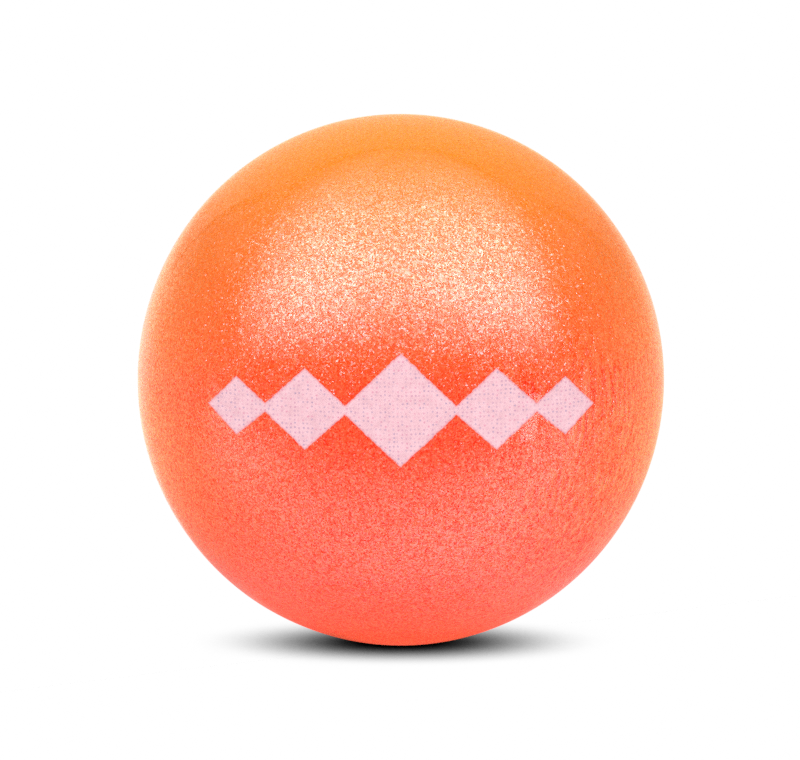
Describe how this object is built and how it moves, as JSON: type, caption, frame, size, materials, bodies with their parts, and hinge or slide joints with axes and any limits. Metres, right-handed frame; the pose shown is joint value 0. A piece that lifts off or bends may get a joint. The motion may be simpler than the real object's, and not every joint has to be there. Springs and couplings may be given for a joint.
{
  "type": "petanque jack",
  "caption": "Small solid wooden target ball for petanque, painted orange pearl under clear gloss, with a plain white lozenge chain printed on its front.",
  "frame": {"origin": "centre of the ball", "axes": "+Z along the wood's grain, up; -Y through the printed front"},
  "size_m": [0.03, 0.03, 0.0303],
  "materials": {
    "boxwood": "matte",
    "undercoat": "matte",
    "pearl_paint": "satin",
    "clear_lacquer": "gloss",
    "white_ink": "satin"
  },
  "bodies": {
    "root": {"wooden_ball": "boxwood", "white_undercoat": "undercoat", "pearl_coat": "pearl_paint", "clear_lacquer": "clear_lacquer", "printed_mark": "white_ink"}
  },
  "joints": []
}
